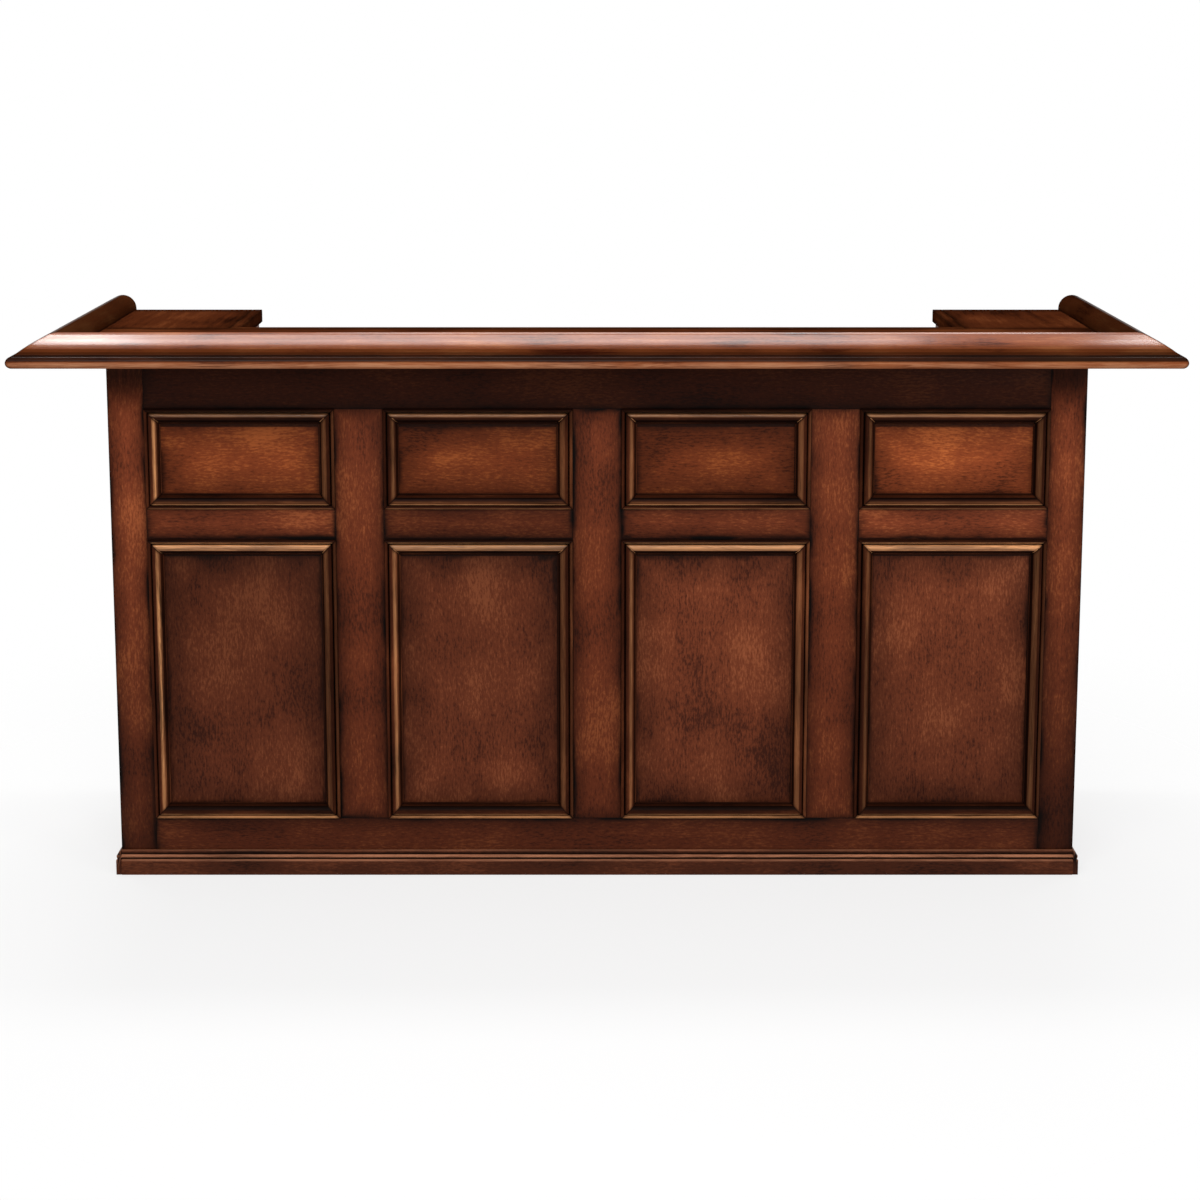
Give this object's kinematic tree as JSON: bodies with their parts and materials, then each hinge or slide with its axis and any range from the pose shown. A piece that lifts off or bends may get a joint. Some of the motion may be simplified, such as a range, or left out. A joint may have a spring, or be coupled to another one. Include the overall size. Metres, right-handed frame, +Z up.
{
  "type": "dry bar",
  "caption": "Free-standing home bar with a panelled front, a U-shaped top edged by an arm rail, and a serving side with drawers, cupboards, shelves and racks.",
  "frame": {"origin": "centre of the bounding box on the floor", "axes": "+X along the bar, the guests' side faces -Y, +Z up"},
  "size_m": [2.134, 0.648, 1.067],
  "materials": {
    "rail_wood": "gloss chestnut lacquer",
    "top_wood": "satin chestnut lacquer",
    "frame_wood": "hand-rubbed chestnut stain",
    "panel_wood": "hand-rubbed chestnut stain",
    "moulding_wood": "glazed chestnut stain",
    "cabinet_wood": "satin chestnut stain",
    "drawer_wood": "satin chestnut stain",
    "antique_brass": "antique",
    "plain_steel": "zinc plated"
  },
  "bodies": {
    "cabinet": {"bottle_rack": "cabinet_wood", "bottom_board": "cabinet_wood", "cleat_screws": "plain_steel", "cleats": "cabinet_wood", "cupboard_hardware": "antique_brass", "drawer_guides": "cabinet_wood", "edge_bands": "top_wood", "front_arm_rail": "rail_wood", "front_bar_top": "top_wood", "front_base_moulding": "moulding_wood", "front_bottom_rail": "frame_wood", "front_left_stile": "frame_wood", "front_mullion_1": "frame_wood", "front_mullion_2": "frame_wood", "front_mullion_3": "frame_wood", "front_right_stile": "frame_wood", "front_top_rail": "frame_wood", "left_arm_rail": "rail_wood", "left_bar_top": "top_wood", "left_base_moulding": "moulding_wood", "left_end_frame": "frame_wood", "left_end_mouldings": "moulding_wood", "left_end_panels": "panel_wood", "left_partition": "cabinet_wood", "lock_rails": "frame_wood", "lower_panel_1": "panel_wood", "lower_panel_2": "panel_wood", "lower_panel_3": "panel_wood", "lower_panel_4": "panel_wood", "panel_moulding_1": "moulding_wood", "panel_moulding_2": "moulding_wood", "panel_moulding_3": "moulding_wood", "panel_moulding_4": "moulding_wood", "rear_toe_rail": "cabinet_wood", "right_arm_rail": "rail_wood", "right_bar_top": "top_wood", "right_base_moulding": "moulding_wood", "right_end_frame": "frame_wood", "right_end_mouldings": "moulding_wood", "right_end_panels": "panel_wood", "right_partition": "cabinet_wood", "shelf_pins": "plain_steel", "shelves": "cabinet_wood", "stemware_rack": "cabinet_wood", "upper_panel_1": "panel_wood", "upper_panel_2": "panel_wood", "upper_panel_3": "panel_wood", "upper_panel_4": "panel_wood", "wing_supports": "cabinet_wood", "work_counter": "cabinet_wood"},
    "left_drawer": {"left_drawer_box": "drawer_wood", "left_drawer_knob": "antique_brass"},
    "left_door": {"left_door": "cabinet_wood", "left_door_knob": "antique_brass", "left_door_hinge_leaves": "antique_brass"},
    "right_drawer": {"right_drawer_box": "drawer_wood", "right_drawer_knob": "antique_brass"},
    "right_door": {"right_door": "cabinet_wood", "right_door_knob": "antique_brass", "right_door_hinge_leaves": "antique_brass"}
  },
  "joints": [
    {"name": "left_drawer_slide", "type": "slide", "parent": "cabinet", "child": "left_drawer", "axis": [0, 1, 0], "range_m": [0, 0.3]},
    {"name": "left_door_hinge", "type": "hinge", "parent": "cabinet", "child": "left_door", "pos_m": [-0.896, 0.2995, 0.395], "axis": [0, 0, 1], "range_deg": [0, 110]},
    {"name": "right_drawer_slide", "type": "slide", "parent": "cabinet", "child": "right_drawer", "axis": [0, 1, 0], "range_m": [0, 0.3]},
    {"name": "right_door_hinge", "type": "hinge", "parent": "cabinet", "child": "right_door", "pos_m": [0.896, 0.2995, 0.395], "axis": [0, 0, -1], "range_deg": [0, 110]}
  ]
}
